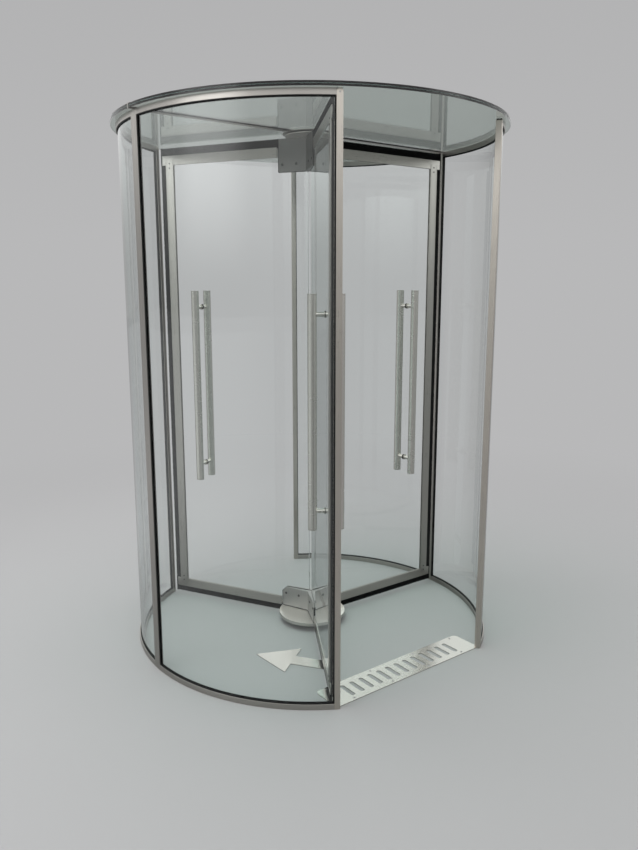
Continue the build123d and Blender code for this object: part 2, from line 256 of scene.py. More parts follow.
def colour_mix(tree, share, first, second):
    """Colour between two colours."""
    return step(tree, "ShaderNodeMix", {0: share, 6: first, 7: second}, 2, data_type="RGBA")


def solid(colour):
    """Colour with its alpha."""
    return (*colour[:3], 1.0)


def dimmed(colour, share):
    """Colour made darker or lighter by a share."""
    return solid([min(1.0, part * share) for part in colour[:3]])


def new_material(name):
    """Empty material and its node tree."""
    material = bpy.data.materials.new(name)
    material.use_nodes = True
    material.node_tree.nodes.clear()
    return material, material.node_tree


def object_place(tree):
    """Place on the piece, in metres."""
    return step(tree, "ShaderNodeTexCoord", None, "Object")


def noise(tree, place, scale, detail=2.0, roughness=0.5):
    """Soft random pattern."""
    inputs = {"Vector": place, "Scale": scale, "Detail": detail, "Roughness": roughness}
    return step(tree, "ShaderNodeTexNoise", inputs)


def embossed(tree, looks, height, strength, distance):
    """Principled surface with a fine relief."""
    relief = {"Height": height, "Strength": strength, "Distance": distance}
    looks = {**looks, "Normal": step(tree, "ShaderNodeBump", relief)}
    return step(tree, "ShaderNodeBsdfPrincipled", looks)


# Finishes


def grain_straight(angle=None):
    """Grain that runs upwards, or level at an angle."""
    def lay(tree):
        place = object_place(tree)
        if angle is None:
            scale, way = (ACROSS, ACROSS, ALONG), UP
        else:
            scale, way = (ALONG, ACROSS, ACROSS), heading(angle)
            turn = (0.0, 0.0, -math.radians(angle))
            place = step(tree, "ShaderNodeMapping", {"Vector": place, "Rotation": turn})
        lines = step(tree, "ShaderNodeMapping", {"Vector": place, "Scale": scale})
        return lines, vector(tree, *way)
    return lay


def grain_round(tree):
    """Grain that runs round the axis."""
    place = object_place(tree)
    parts = add(tree, "ShaderNodeSeparateXYZ", {0: place}).outputs
    flat = on_vectors(tree, "MULTIPLY", place, (1, 1, 0))
    reach = on_vectors(tree, "LENGTH", flat)
    turn = arithmetic(tree, "ARCTAN2", parts[1], parts[0])
    lines = vector(tree, times(tree, reach, ACROSS), times(tree, turn, ALONG),
                   times(tree, parts[2], ACROSS))
    return lines, on_vectors(tree, "NORMALIZE", on_vectors(tree, "CROSS_PRODUCT", UP, flat))


def grain_turned(tree):
    """Fine turning marks round an upright tube."""
    inputs = {"Vector": object_place(tree), "Scale": (ALONG, ALONG, ACROSS)}
    return step(tree, "ShaderNodeMapping", inputs), vector(tree, *UP)


def steel(name, colour, lay, depth, dull=0.30, spread=0.08, stretch=0.5, marks=0.07):
    """Brushed stainless steel: grain lines, uneven sheen and faint finger marks."""
    material, tree = new_material(name)
    lines_place, tangent = lay(tree)
    lines = ramp(tree, noise(tree, lines_place, 1.0, 4.0, 0.65), 0.3, 0.7)
    place = object_place(tree)
    clouds = noise(tree, place, 4.5, 3.0, 0.55)
    handled = ramp(tree, noise(tree, place, 17.0), 0.55, 0.75, smooth=True)
    tone = colour_mix(tree, lines, dimmed(colour, 1.0 - marks), dimmed(colour, 1.0 + marks))
    tone = colour_mix(tree, ramp(tree, clouds, 0.35, 0.65, 0.0, 0.2), tone,
                      dimmed(colour, 0.84))
    sheen = ramp(tree, lines, 0.0, 1.0, dull - spread / 2, dull + spread / 2)
    sheen = arithmetic(tree, "ADD", sheen, ramp(tree, clouds, 0.3, 0.7, -0.01, 0.02))
    sheen = arithmetic(tree, "ADD", sheen, times(tree, handled, 0.03))
    looks = {"Base Color": tone, "Metallic": 1.0, "Roughness": sheen, "Anisotropic": stretch,
             "Anisotropic Rotation": 0.25, "Tangent": tangent}
    surface = embossed(tree, looks, lines, 0.5, depth)
    add(tree, "ShaderNodeOutputMaterial", {"Surface": surface})
    return material


def rubber(name, colour, dull=0.55):
    """Rubber, tape or film with a fine skin and a faint bloom."""
    material, tree = new_material(name)
    place = object_place(tree)
    fine = noise(tree, place, 900.0, 3.0)
    bloom = ramp(tree, noise(tree, place, 9.0, 3.0), 0.4, 0.75, smooth=True)
    looks = {"Base Color": colour_mix(tree, bloom, solid(colour), dimmed(colour, 1.7)),
             "Roughness": ramp(tree, fine, 0.3, 0.7, dull - 0.08, dull + 0.1),
             "Specular IOR Level": 0.3}
    surface = embossed(tree, looks, fine, 0.4, 0.0001)
    add(tree, "ShaderNodeOutputMaterial", {"Surface": surface})
    return material


def bristle_nylon(name, colour):
    """Black nylon bristles, each strand a little lighter or darker."""
    material, tree = new_material(name)
    place = object_place(tree)
    strands = ramp(tree, noise(tree, place, 700.0, 1.0), 0.3, 0.7)
    dust = ramp(tree, noise(tree, place, 14.0), 0.45, 0.8, 0.0, 0.3)
    tone = colour_mix(tree, strands, dimmed(colour, 0.6), dimmed(colour, 1.6))
    looks = {"Base Color": colour_mix(tree, dust, tone, dimmed(colour, 2.2)),
             "Roughness": ramp(tree, strands, 0.0, 1.0, 0.5, 0.7), "Specular IOR Level": 0.2}
    surface = embossed(tree, looks, strands, 0.3, 0.0002)
    add(tree, "ShaderNodeOutputMaterial", {"Surface": surface})
    return material


def clear_glass(name, tint, density, waviness, thin=True):
    """Clear float glass: green in its depth, faintly wavy, with a few wiping marks.

    It throws a pale shadow. A thin pane is only a clear film to rays that another face
    mirrors, so that the mirrored room stays calm.
    """
    material, tree = new_material(name)
    place = object_place(tree)
    waves = noise(tree, place, 2.6, 1.0)
    wiped = ramp(tree, noise(tree, place, 6.0, 4.0, 0.6), 0.52, 0.78, 0.0, 0.012, smooth=True)
    looks = {"Base Color": (1.0, 1.0, 1.0, 1.0), "Roughness": wiped, "IOR": 1.5,
             "Transmission Weight": 1.0}
    body = embossed(tree, looks, waves, 0.5, waviness)
    shadow = step(tree, "ShaderNodeBsdfTransparent", {"Color": (0.90, 0.95, 0.93, 1.0)})
    path = add(tree, "ShaderNodeLightPath").outputs
    if thin:
        film = step(tree, "ShaderNodeBsdfTransparent", {"Color": (0.95, 0.965, 0.96, 1.0)})
        body = step(tree, "ShaderNodeMixShader",
                    {0: path["Is Reflection Ray"], 1: body, 2: film})
    surface = step(tree, "ShaderNodeMixShader", {0: path["Is Shadow Ray"], 1: body, 2: shadow})
    depth = step(tree, "ShaderNodeVolumeAbsorption", {"Color": solid(tint), "Density": density})
    add(tree, "ShaderNodeOutputMaterial", {"Surface": surface, "Volume": depth})
    return material


def paint(material, *names):
    """Give CAD parts their material."""
    for name in names:
        mesh = cad_nodes[name].data
        if not mesh.materials:
            mesh.materials.append(material)
        for index in range(len(mesh.materials)):
            mesh.materials[index] = material


# Shapes in Geometry Nodes


def new_shape(name, sizes):
    """Empty Geometry Nodes tree with named inputs for its sizes."""
    tree = bpy.data.node_groups.new(name, "GeometryNodeTree")
    tree.interface.new_socket("Geometry", in_out="INPUT", socket_type="NodeSocketGeometry")
    tree.interface.new_socket("Geometry", in_out="OUTPUT", socket_type="NodeSocketGeometry")
    for label, default in sizes.items():
        kind = {float: "NodeSocketFloat", int: "NodeSocketInt"}[type(default)]
        socket = tree.interface.new_socket(label, in_out="INPUT", socket_type=kind)
        socket.default_value = default
    tree.interface.new_socket("Material", in_out="INPUT", socket_type="NodeSocketMaterial")
    return tree, add(tree, "NodeGroupInput").outputs


def finish_shape(tree, geometry, start):
    """Close a tree with Realize Instances and Set Material."""
    real = step(tree, "GeometryNodeRealizeInstances", {0: geometry})
    painted = step(tree, "GeometryNodeSetMaterial", {
        "Geometry": real, "Material": start["Material"]})
    add(tree, "NodeGroupOutput", {0: painted})
    return tree


def named(tree, label):
    """Vector that the path carries under a name."""
    return step(tree, "GeometryNodeInputNamedAttribute", {"Name": label}, "Attribute",
                data_type="FLOAT_VECTOR")


def lay_path(tree, start):
    """Path along the guide, plain and with its sections facing across."""
    path = step(tree, "GeometryNodeMeshToCurve", {0: start["Geometry"]})
    inputs = {"Curve": path, "Normal": named(tree, "across")}
    return path, step(tree, "GeometryNodeSetCurveNormal", inputs, mode="FREE")


def rectangle(tree, width, height):
    """Rectangular section."""
    inputs = {"Width": width, "Height": height}
    return step(tree, "GeometryNodeCurvePrimitiveQuadrilateral", inputs)


def rounded(tree, section, radius, count):
    """Section with rounded corners."""
    inputs = {"Curve": section, "Count": count, "Radius": radius}
    return step(tree, "GeometryNodeFilletCurve", inputs, mode="POLY")


def sweep(tree, path, section, caps=True):
    """Section swept along a path."""
    inputs = {"Curve": path, "Profile Curve": section, "Fill Caps": caps}
    return step(tree, "GeometryNodeCurveToMesh", inputs)


def aim_points(tree, start):
    """Points of the guide, and turns that bring +Z to each point's way."""
    points = step(tree, "GeometryNodeMeshToPoints", {0: start["Geometry"]})
    inputs = {"Vector": named(tree, "way")}
    return points, step(tree, "FunctionNodeAlignRotationToVector", inputs, axis="Z")


def turn_on(tree, rotation, angles):
    """Rotation with a further turn about its own axes."""
    inputs = {0: rotation, 1: step(tree, "FunctionNodeEulerToRotation", {0: angles})}
    return step(tree, "FunctionNodeRotateRotation", inputs, rotation_space="LOCAL")


def lift(tree, geometry, height):
    """Geometry moved up."""
    return step(tree, "GeometryNodeTransform", {
        0: geometry, "Translation": vector(tree, z=height)})


def shape_strip():
    """Strip of one rounded section, swept along its path."""
    tree, start = new_shape("Swept strip", {"Width": 0.004, "Depth": 0.020, "Rounding": 0.001})
    section = rectangle(tree, start["Width"], start["Depth"])
    section = rounded(tree, section, start["Rounding"], 3)
    return finish_shape(tree, sweep(tree, lay_path(tree, start)[1], section), start)


def shape_bristles():
    """Bristles along a path, in tufts that lean and vary a little, round a solid fin."""
    tree, start = new_shape("Bristle seal", {
        "Pitch": 0.003, "Bristle width": 0.0009, "Row thickness": 0.006, "Length": 0.034,
        "Strands": 5, "Lean": 0.03, "Fin thickness": 0.002, "Fin share": 0.9, "Seed": 7})
    path, laid = lay_path(tree, start)
    fin_height = times(tree, start["Length"], start["Fin share"])
    swept = sweep(tree, laid, rectangle(tree, start["Fin thickness"], fin_height))
    rise = step(tree, "ShaderNodeVectorMath", {
        0: named(tree, "way"), "Scale": times(tree, fin_height, 0.5)}, operation="SCALE")
    fin = step(tree, "GeometryNodeSetPosition", {"Geometry": swept, "Offset": rise})
    even = step(tree, "GeometryNodeResampleCurve", {
        "Curve": path, "Length": start["Pitch"]}, mode="LENGTH")
    spacing = arithmetic(tree, "DIVIDE", start["Pitch"], start["Strands"])
    row = step(tree, "GeometryNodeMeshLine", {
        "Count": start["Strands"], "Offset": vector(tree, spacing)}, mode="OFFSET")
    index = step(tree, "GeometryNodeInputIndex")
    zigzag = arithmetic(tree, "FRACT", times(tree, index, 0.618))
    room = arithmetic(tree, "SUBTRACT", start["Row thickness"], start["Bristle width"])
    aside = times(tree, arithmetic(tree, "SUBTRACT", zigzag, 0.4), room)
    centred = times(tree, start["Pitch"], -0.4)
    spread = step(tree, "GeometryNodeSetPosition", {
        "Geometry": row, "Offset": vector(tree, centred, aside)})
    strand = step(tree, "GeometryNodeMeshCone", {
        "Vertices": 4, "Radius Top": times(tree, start["Bristle width"], 0.35),
        "Radius Bottom": times(tree, start["Bristle width"], 0.5),
        "Depth": start["Length"]}, fill_type="NGON")
    tuft = step(tree, "GeometryNodeInstanceOnPoints", {"Points": spread, "Instance": strand})
    one_tuft = step(tree, "GeometryNodeRealizeInstances", {0: tuft})
    upright = step(tree, "FunctionNodeAxesToRotation", {
        0: named(tree, "way"), 1: named(tree, "across")}, primary_axis="Z", secondary_axis="Y")
    lean = times(tree, start["Lean"], -1.0)
    leaning = step(tree, "FunctionNodeRandomValue", {
        0: vector(tree, lean, lean), 1: vector(tree, start["Lean"], start["Lean"]),
        "Seed": start["Seed"]}, data_type="FLOAT_VECTOR")
    trimmed = step(tree, "FunctionNodeRandomValue", {
        2: 0.955, 3: 1.0, "Seed": start["Seed"]}, 1, data_type="FLOAT")
    tufts = step(tree, "GeometryNodeInstanceOnPoints", {
        "Points": even, "Instance": one_tuft, "Rotation": turn_on(tree, upright, leaning),
        "Scale": vector(tree, 1.0, 1.0, trimmed)})
    seal = step(tree, "GeometryNodeJoinGeometry", {0: [tufts, fin]})
    return finish_shape(tree, seal, start)


def shape_screw():
    """Socket screw heads: a rounded head with a hexagon socket, one at each point."""
    tree, start = new_shape("Socket screw", {
        "Head diameter": 0.012, "Head height": 0.003, "Socket width": 0.006,
        "Socket depth": 0.0022, "Seed": 3})
    radius = arithmetic(tree, "DIVIDE", start["Head diameter"], 2.0)
    rim = times(tree, start["Head height"], 0.55)
    base = step(tree, "GeometryNodeMeshCylinder", {
        "Vertices": 24, "Radius": radius, "Depth": rim})
    crown = step(tree, "GeometryNodeMeshCone", {
        "Vertices": 24, "Radius Top": times(tree, radius, 0.82), "Radius Bottom": radius,
        "Depth": arithmetic(tree, "SUBTRACT", start["Head height"], rim)})
    halves = [lift(tree, base, times(tree, rim, 0.5)), lift(tree, crown, rim)]
    head = step(tree, "GeometryNodeMeshBoolean", {"Mesh 2": halves},
                operation="UNION", solver="EXACT")
    half_width = arithmetic(tree, "DIVIDE", start["Socket width"], math.sqrt(3.0))
    hexagon = step(tree, "GeometryNodeMeshCylinder", {
        "Vertices": 6, "Radius": half_width, "Depth": times(tree, start["Socket depth"], 2.0)})
    sunk = lift(tree, hexagon, start["Head height"])
    cut = step(tree, "GeometryNodeMeshBoolean", {"Mesh 1": head, "Mesh 2": sunk},
               operation="DIFFERENCE", solver="EXACT")
    points, upright = aim_points(tree, start)
    twist = step(tree, "FunctionNodeRandomValue", {
        2: 0.0, 3: math.pi, "Seed": start["Seed"]}, 1, data_type="FLOAT")
    heads = step(tree, "GeometryNodeInstanceOnPoints", {
        "Points": points, "Instance": cut,
        "Rotation": turn_on(tree, upright, vector(tree, z=twist))})
    return finish_shape(tree, heads, start)


def shape_ring():
    """Flat rings, one at each point, such as washers and cap seams."""
    tree, start = new_shape("Flat ring", {
        "Inner diameter": 0.018, "Outer diameter": 0.026, "Thickness": 0.002,
        "Rounding": 0.0003})
    gap = arithmetic(tree, "SUBTRACT", start["Outer diameter"], start["Inner diameter"])
    middle = arithmetic(tree, "ADD", start["Outer diameter"], start["Inner diameter"])
    circle = step(tree, "GeometryNodeCurvePrimitiveCircle", {
        "Resolution": 48, "Radius": arithmetic(tree, "DIVIDE", middle, 4.0)}, mode="RADIUS")
    section = rectangle(tree, arithmetic(tree, "DIVIDE", gap, 2.0), start["Thickness"])
    section = rounded(tree, section, start["Rounding"], 2)
    points, upright = aim_points(tree, start)
    rings = step(tree, "GeometryNodeInstanceOnPoints", {
        "Points": points, "Instance": sweep(tree, circle, section, caps=False),
        "Rotation": upright})
    return finish_shape(tree, rings, start)


def guide(lines, vectors):
    """Object of bare points and edges for a tree, with its named vectors."""
    points, edges = [], []
    for line in lines:
        first = len(points)
        edges += [(first + index, first + index + 1) for index in range(len(line) - 1)]
        points += line
    mesh = bpy.data.meshes.new("guide")
    mesh.from_pydata(points, edges, [])
    for label, values in vectors.items():
        layer = mesh.attributes.new(label, "FLOAT_VECTOR", "POINT")
        for index, value in enumerate(values):
            layer.data[index].vector = value
    guide_object = bpy.data.objects.new("guide", mesh)
    bpy.context.scene.collection.objects.link(guide_object)
    return guide_object


def make_piece(name, shape, lines, vectors, sizes, material, body):
    """Run a tree on a path, keep its result as one plain mesh and hang it on its body."""
    source = guide(lines, vectors)
    modifier = source.modifiers.new("shape", "NODES")
    modifier.node_group = shape
    wanted = dict(sizes, Material=material)
    for item in shape.interface.items_tree:
        if item.in_out == "INPUT" and item.name in wanted:
            modifier[item.identifier] = wanted[item.name]
    bpy.context.view_layer.update()
    depsgraph = bpy.context.evaluated_depsgraph_get()
    mesh = bpy.data.meshes.new_from_object(source.evaluated_get(depsgraph))
    source.modifiers.clear()
    bpy.data.objects.remove(source)
    for attribute in list(mesh.attributes):
        if attribute.name in ("way", "across"):
            mesh.attributes.remove(attribute)
    mesh.shade_smooth()
    mesh.set_sharp_from_angle(angle=math.radians(35))
    piece = bpy.data.objects.new(name, mesh)
    bpy.context.scene.collection.objects.link(piece)
    if not mesh.polygons:
        raise RuntimeError(f"{name} came out empty")
    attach(piece, body)
    return piece


# Settings

COLOUR = {"subtype": "COLOR", "size": 3, "min": 0.0, "max": 1.0}


class SteelSettings(bpy.types.PropertyGroup):
    frame_colour: FloatVectorProperty(
        name="Frame steel", description="Colour of the brushed channels and rails",
        default=(0.50, 0.48, 0.45), **COLOUR)
    # Painted reflection: the posts' steel is lighter and warmer than the frame steel, for the
    # bright warm light that they mirror.
    post_colour_painted_lighter: FloatVectorProperty(
        name="Post steel", description="Colour of the four posts of the doorways",
        default=(0.66, 0.62, 0.56), **COLOUR)
    clamp_colour: FloatVectorProperty(
        name="Clamp steel", description="Colour of the clamps that grip the wings",
        default=(0.46, 0.455, 0.44), **COLOUR)
    bright_colour: FloatVectorProperty(
        name="Bright steel", description="Colour of the handles, the discs and the floor plates",
        default=(0.60, 0.582, 0.545), **COLOUR)
    grain_depth: FloatProperty(
        name="Grain depth", description="Depth of the brushing lines",
        unit="LENGTH", min=0.0, default=0.000015)


class GlassSettings(bpy.types.PropertyGroup):
    tint: FloatVectorProperty(
        name="Tint", description="Colour that the light takes on in the depth of the glass",
        default=(0.55, 0.80, 0.75), **COLOUR)
    wall_density: FloatProperty(
        name="Tint density", description="Strength of the tint in walls and wings",
        min=0.0, default=5.0)
    ceiling_tint: FloatVectorProperty(
        name="Ceiling tint", description="Colour that the light takes on in the ceiling",
        default=(0.56, 0.68, 0.60), **COLOUR)
    ceiling_density: FloatProperty(
        name="Ceiling density", description="Strength of the tint in the ceiling",
        min=0.0, default=28.0)
    waviness: FloatProperty(
        name="Waviness", description="Height of the faint waves in tempered glass",
        unit="LENGTH", min=0.0, default=0.0003)


class SealSettings(bpy.types.PropertyGroup):
    rubber_colour: FloatVectorProperty(
        name="Rubber", description="Colour of the gaskets",
        default=(0.004, 0.004, 0.0042), **COLOUR)
    bristle_colour: FloatVectorProperty(
        name="Bristles", description="Colour of the bristle seals",
        default=(0.004, 0.004, 0.0042), **COLOUR)
    gasket_width: FloatProperty(
        name="Gasket width", description="Width of a gasket between glass and channel",
        unit="LENGTH", min=0.001, default=0.0039)
    gasket_lip: FloatProperty(
        name="Gasket lip", description="How far a gasket stands out of its channel",
        unit="LENGTH", min=0.0, default=0.004)
    bristle_pitch: FloatProperty(
        name="Tuft pitch", description="Distance from tuft to tuft",
        unit="LENGTH", min=0.001, default=0.003)
    bristle_width: FloatProperty(
        name="Bristle width", description="Width of one bristle at its root",
        unit="LENGTH", min=0.0002, default=0.001)
    strands: IntProperty(
        name="Strands", description="Bristles in one tuft", min=1, default=6)


class ScrewSettings(bpy.types.PropertyGroup):
    clamp_head: FloatProperty(
        name="Clamp screw", description="Head diameter of the clamp screws",
        unit="LENGTH", min=0.002, default=0.012)
    plate_head: FloatProperty(
        name="Plate screw", description="Head diameter of the threshold and bearing screws",
        unit="LENGTH", min=0.002, default=0.010)
    stile_head: FloatProperty(
        name="Stile screw", description="Head diameter of the screws at the stiles' ends",
        unit="LENGTH", min=0.002, default=0.007)
    colour: FloatVectorProperty(
        name="Screw steel", description="Colour of the blackened screws",
        default=(0.10, 0.10, 0.10), **COLOUR)


class StageSettings(bpy.types.PropertyGroup):
    floor_colour: FloatVectorProperty(
        name="Floor", description="Colour of the plain floor",
        default=(0.46, 0.46, 0.465), **COLOUR)
    background: FloatVectorProperty(
        name="Background", description="Colour behind the door",
        default=(0.48, 0.48, 0.485), **COLOUR)
    ambient: FloatProperty(
        name="Ambient", description="Strength of the even light from all round",
        min=0.0, default=0.55)
    sky_band: FloatProperty(
        name="High light", description="Brightness of the high ring of light that steel mirrors",
        min=0.0, default=1.25)
    lamp_power: FloatProperty(
        name="Lamp power", description="Power of the soft lamp overhead", unit="POWER",
        min=0.0, default=165.0)
    focal_length: FloatProperty(
        name="Focal length", description="Focal length of the camera in millimetres",
        min=1.0, default=32.045)


SETTINGS = {
    "door_steel": SteelSettings,
    "door_glass": GlassSettings,
    "door_seals": SealSettings,
    "door_screws": ScrewSettings,
    "door_stage": StageSettings,
}


# Pieces


class DOOR_OT_steel(bpy.types.Operator):
    """Finish the steel channels, rails, clamps, discs, handles and floor plates"""

    bl_idname = "door.steel"
    bl_label = "Steel"

    def execute(self, context):
        values = context.scene.door_steel
        plain, bright, depth = values.frame_colour, values.bright_colour, values.grain_depth
        # Painted highlight: handles and discs take the bright steel made 1.3 times lighter,
        # standing in for lamp light that the steel does not mirror.
        bright_painted_lighter = dimmed(bright, 1.3)
        # The posts take their lighter, warmer steel: a painted reflection.
        paint(steel("post_brushed_steel", values.post_colour_painted_lighter, grain_straight(), depth),
              "front_left_post", "front_right_post", "rear_right_post", "rear_left_post")
        paint(steel("upright_brushed_steel", plain, grain_straight(), depth),
              "left_mullion", "right_mullion", *of_wings("stile"))
        paint(steel("curved_brushed_steel", plain, grain_round, depth),
              "left_base_rail", "right_base_rail", "left_top_rail", "right_top_rail")
        for wing, angle in WINGS.items():
            paint(steel(f"{wing}_rail_brushed_steel", plain, grain_straight(angle), depth),
                  f"{wing}_wing_bottom_rail", f"{wing}_wing_top_rail")
        paint(steel("joint_brushed_steel", plain, grain_straight(0.0), depth),
              "ceiling_joint_bar")
        paint(steel("tube_satin_steel", bright_painted_lighter, grain_turned, depth / 3, dull=0.25,
                    spread=0.02, stretch=0.6, marks=0.015), *of_wings("handles"))
        paint(steel("lower_clamp_satin_steel", values.clamp_colour, grain_straight(), depth,
                    dull=0.55, stretch=0.2), "lower_wing_clamps")
        # Painted shade: the upper clamps take the clamp steel darkened to 0.55, a shaded copy of
        # the lower clamps' steel.
        paint(steel("upper_clamp_shaded_satin_steel", dimmed(values.clamp_colour, 0.55),
                    grain_straight(), depth, dull=0.42, stretch=0.2), "upper_wing_clamps")
        paint(steel("disc_satin_steel", bright_painted_lighter, grain_round, depth / 6, dull=0.30,
                    spread=0.04, stretch=0.2, marks=0.05), "floor_hub_disc", "ceiling_hub_disc")
        paint(steel("bearing_steel", plain, grain_round, depth, dull=0.32),
              "floor_bearing", "ceiling_bearing")
        for plate, name, angle in (("threshold_plate", "threshold_brushed_steel", 0.0),
                                   ("direction_arrow", "arrow_brushed_steel", 125.0)):
            paint(steel(name, bright, grain_straight(angle), depth, dull=0.22, spread=0.05,
                        marks=0.05), plate)
        return {"FINISHED"}


class DOOR_OT_stile_faces(bpy.types.Operator):
    """Lay the faces of the stiles over the rails that they join"""

    bl_idname = "door.stile_faces"
    bl_label = "Stile faces"

    def execute(self, context):
        values = context.scene.door_steel
        face = steel("stile_face_brushed_steel", values.frame_colour, grain_straight(),
                     values.grain_depth)
        thickness = STILE_FACE + STILE_BEDDING
        lines, across = [], []
        for angle, side in wing_faces():
            aside = side * (RAIL_FACE - STILE_BEDDING + thickness / 2)
            lines.append([around(STILE_MIDDLE, angle, BOTTOM_RAIL[1] - STILE_LAP[0], aside),
                          around(STILE_MIDDLE, angle, TOP_RAIL[0] + STILE_LAP[1], aside)])
            across += [heading(angle + 90)] * 2
        make_piece("stile_faces", shape_strip(), lines, {"across": across},
                   {"Width": thickness, "Rounding": 0.0003,
                    "Depth": 2 * (STILE_END - STILE_MIDDLE) - STILE_INSET},
                   face, "wings")
        return {"FINISHED"}


class DOOR_OT_glass(bpy.types.Operator):
    """Finish the curved walls, the wings and the ceiling in glass"""

    bl_idname = "door.glass"
    bl_label = "Glass"

    def execute(self, context):
        values = context.scene.door_glass
        density, waves = values.wall_density, values.waviness
        paint(clear_glass("wall_float_glass", values.tint, density, waves),
              "front_left_wall_glass", "rear_left_wall_glass",
              "front_right_wall_glass", "rear_right_wall_glass")
        paint(clear_glass("wing_float_glass", values.tint, density, waves / 3),
              *of_wings("glass"))
        paint(clear_glass("ceiling_laminated_glass", values.ceiling_tint,
                          values.ceiling_density, waves / 3, thin=False),
              "front_ceiling_glass", "rear_ceiling_glass")
        return {"FINISHED"}


class DOOR_OT_gaskets(bpy.types.Operator):
    """Lay rubber gaskets between the curved glass and its channels, inside and outside"""

    bl_idname = "door.gaskets"
    bl_label = "Wall gaskets"

    def execute(self, context):
        values = context.scene.door_seals
        black = rubber("gasket_rubber", values.rubber_colour)
        strip = shape_strip()
        depth = CHANNEL_WIDTH - CHANNEL_WALL - GASKET_TUCK + values.gasket_lip
        foot = CHANNEL_WALL + GASKET_TUCK + depth / 2
        for side, panes in PANES.items():
            lines, across = [], []
            for start, end in panes:
                for reach in (WALL_RADIUS - GASKET_OFFSET, WALL_RADIUS + GASKET_OFFSET):
                    ends = []
                    for angle, inward in ((start, 1), (end, -1)):
                        web = CHANNEL_WIDTH / 2 if angle in POSTS else 0.0
                        shift = inward * (CHANNEL_WALL - web + GASKET_TUCK + depth / 2)
                        ends.append(angle + degrees_along(shift + inward * depth / 2, reach))
                        lines.append([around(reach, angle, height, shift) for height in
                                      (GASKET_END, CEILING_FOOT - GASKET_END)])
                        across += [heading(angle)] * 2
                    for height in (foot, CEILING_FOOT - foot):
                        line = arc(reach, *ends, height)
                        lines.append(line)
                        across += outwards([line])
            make_piece(f"{side}_wall_gaskets", strip, lines, {"across": across},
                       {"Width": values.gasket_width, "Depth": depth, "Rounding": 0.0012},
                       black, "drum")
        return {"FINISHED"}


class DOOR_OT_ceiling(bpy.types.Operator):
    """Seal the ceiling's joint, bed its glass on tape and show the interlayer in its edge"""

    bl_idname = "door.ceiling"
    bl_label = "Ceiling seals"

    def execute(self, context):
        black = rubber("joint_rubber", context.scene.door_seals.rubber_colour)
        film = rubber("interlayer_film", (0.12, 0.16, 0.15), dull=0.4)
        grey = rubber("glazing_tape", (0.32, 0.32, 0.315), dull=0.45)
        strip = shape_strip()
        lines = [[Vector((way * reach, side * JOINT_SEAL_ASIDE, height)) for reach in ends]
                 for way in (-1, 1) for side in (-1, 1) for height, *ends in JOINT_SEALS]
        across = [Vector((0, 1, 0))] * (2 * len(lines))
        make_piece("ceiling_joint_seals", strip, lines, {"across": across},
                   {"Width": 0.003, "Depth": 0.0018, "Rounding": 0.0005}, black, "drum")
        clear = degrees_along(TAPE_CLEARANCE, WALL_RADIUS)
        past_post = 60 - degrees_along(CHANNEL_WIDTH / 2, WALL_RADIUS)
        lines = [arc(WALL_RADIUS, start, end, TAPE_HEIGHT) for start, end in (
            (past_post - 120, -clear), (clear, 120 - past_post),
            (60 + past_post, 180 - clear), (180 + clear, 300 - past_post))]
        make_piece("ceiling_rail_tape", strip, lines, {"across": outwards(lines)},
                   {"Width": CHANNEL_WIDTH - TAPE_INSET, "Depth": TAPE_THICKNESS,
                    "Rounding": 0.0001}, grey, "drum")
        make_piece("ceiling_bearing_tape", shape_ring(), [[Vector((0, 0, TAPE_HEIGHT))]],
                   {"way": [UP]}, {"Inner diameter": BEARING_TAPE[0],
                                   "Outer diameter": BEARING_TAPE[1],
                                   "Thickness": TAPE_THICKNESS, "Rounding": 0.0001},
                   grey, "drum")
        edge = degrees_along(JOINT_EDGE, CEILING_RADIUS)
        middle = (CEILING_FOOT + CEILING_TOP) / 2
        lines = [arc(CEILING_RADIUS, start + edge, start + 180 - edge, middle, 96)
                 for start in (0, 180)]
        make_piece("ceiling_edge_interlayer", strip, lines, {"across": outwards(lines)},
                   {"Width": 0.0008, "Depth": 0.0016, "Rounding": 0.0002}, film, "drum")
        return {"FINISHED"}


class DOOR_OT_wing_seals(bpy.types.Operator):
    """Set bristle seals below, above and beside each wing"""

    bl_idname = "door.wing_seals"
    bl_label = "Wing seals"

    def execute(self, context):
        values = context.scene.door_seals
        nylon = bristle_nylon("bristle_nylon", values.bristle_colour)
        shape = shape_bristles()
        foot, head = BOTTOM_RAIL[0] + BRISTLE_ROOT, TOP_RAIL[1] - BRISTLE_ROOT
        stile, tip, short = STILE_END - BRISTLE_ROOT, TIP_BRISTLES_START, BRISTLE_END
        runs = (
            ("bottom", foot - WING_FOOT, (RAIL_START + short, foot), (RAIL_END - short, foot), -UP),
            ("top", WING_TOP - head, (TOP_BRISTLES_START, head), (RAIL_END - short, head), UP),
            ("side", WING_TIP - STILE_END + BRISTLE_ROOT, (stile, BOTTOM_RAIL[1] + short),
             (stile, TOP_RAIL[0] - short), None),
            ("bottom_tip", WING_TIP - tip, (tip, WING_FOOT + short), (tip, BOTTOM_RAIL[1]), None),
            ("top_tip", WING_TIP - tip, (tip, TOP_RAIL[0]), (tip, WING_TOP - short), None),
        )
        for wing, angle in WINGS.items():
            for run, length, (start, low), (end, high), direction in runs:
                line = [around(start, angle, low), around(end, angle, high)]
                way = [direction or heading(angle)] * 2
                piece = make_piece(
                    f"{wing}_wing_{run}_bristles", shape, [line],
                    {"way": way, "across": [heading(angle + 90)] * 2},
                    {"Pitch": values.bristle_pitch, "Bristle width": values.bristle_width,
                     "Strands": values.strands, "Length": length, "Row thickness": 0.0058,
                     "Lean": 0.03, "Fin thickness": 0.002, "Fin share": 0.9, "Seed": 7},
                    nylon, "wings")
                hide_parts(f"{wing}_wing_brushes")
        return {"FINISHED"}


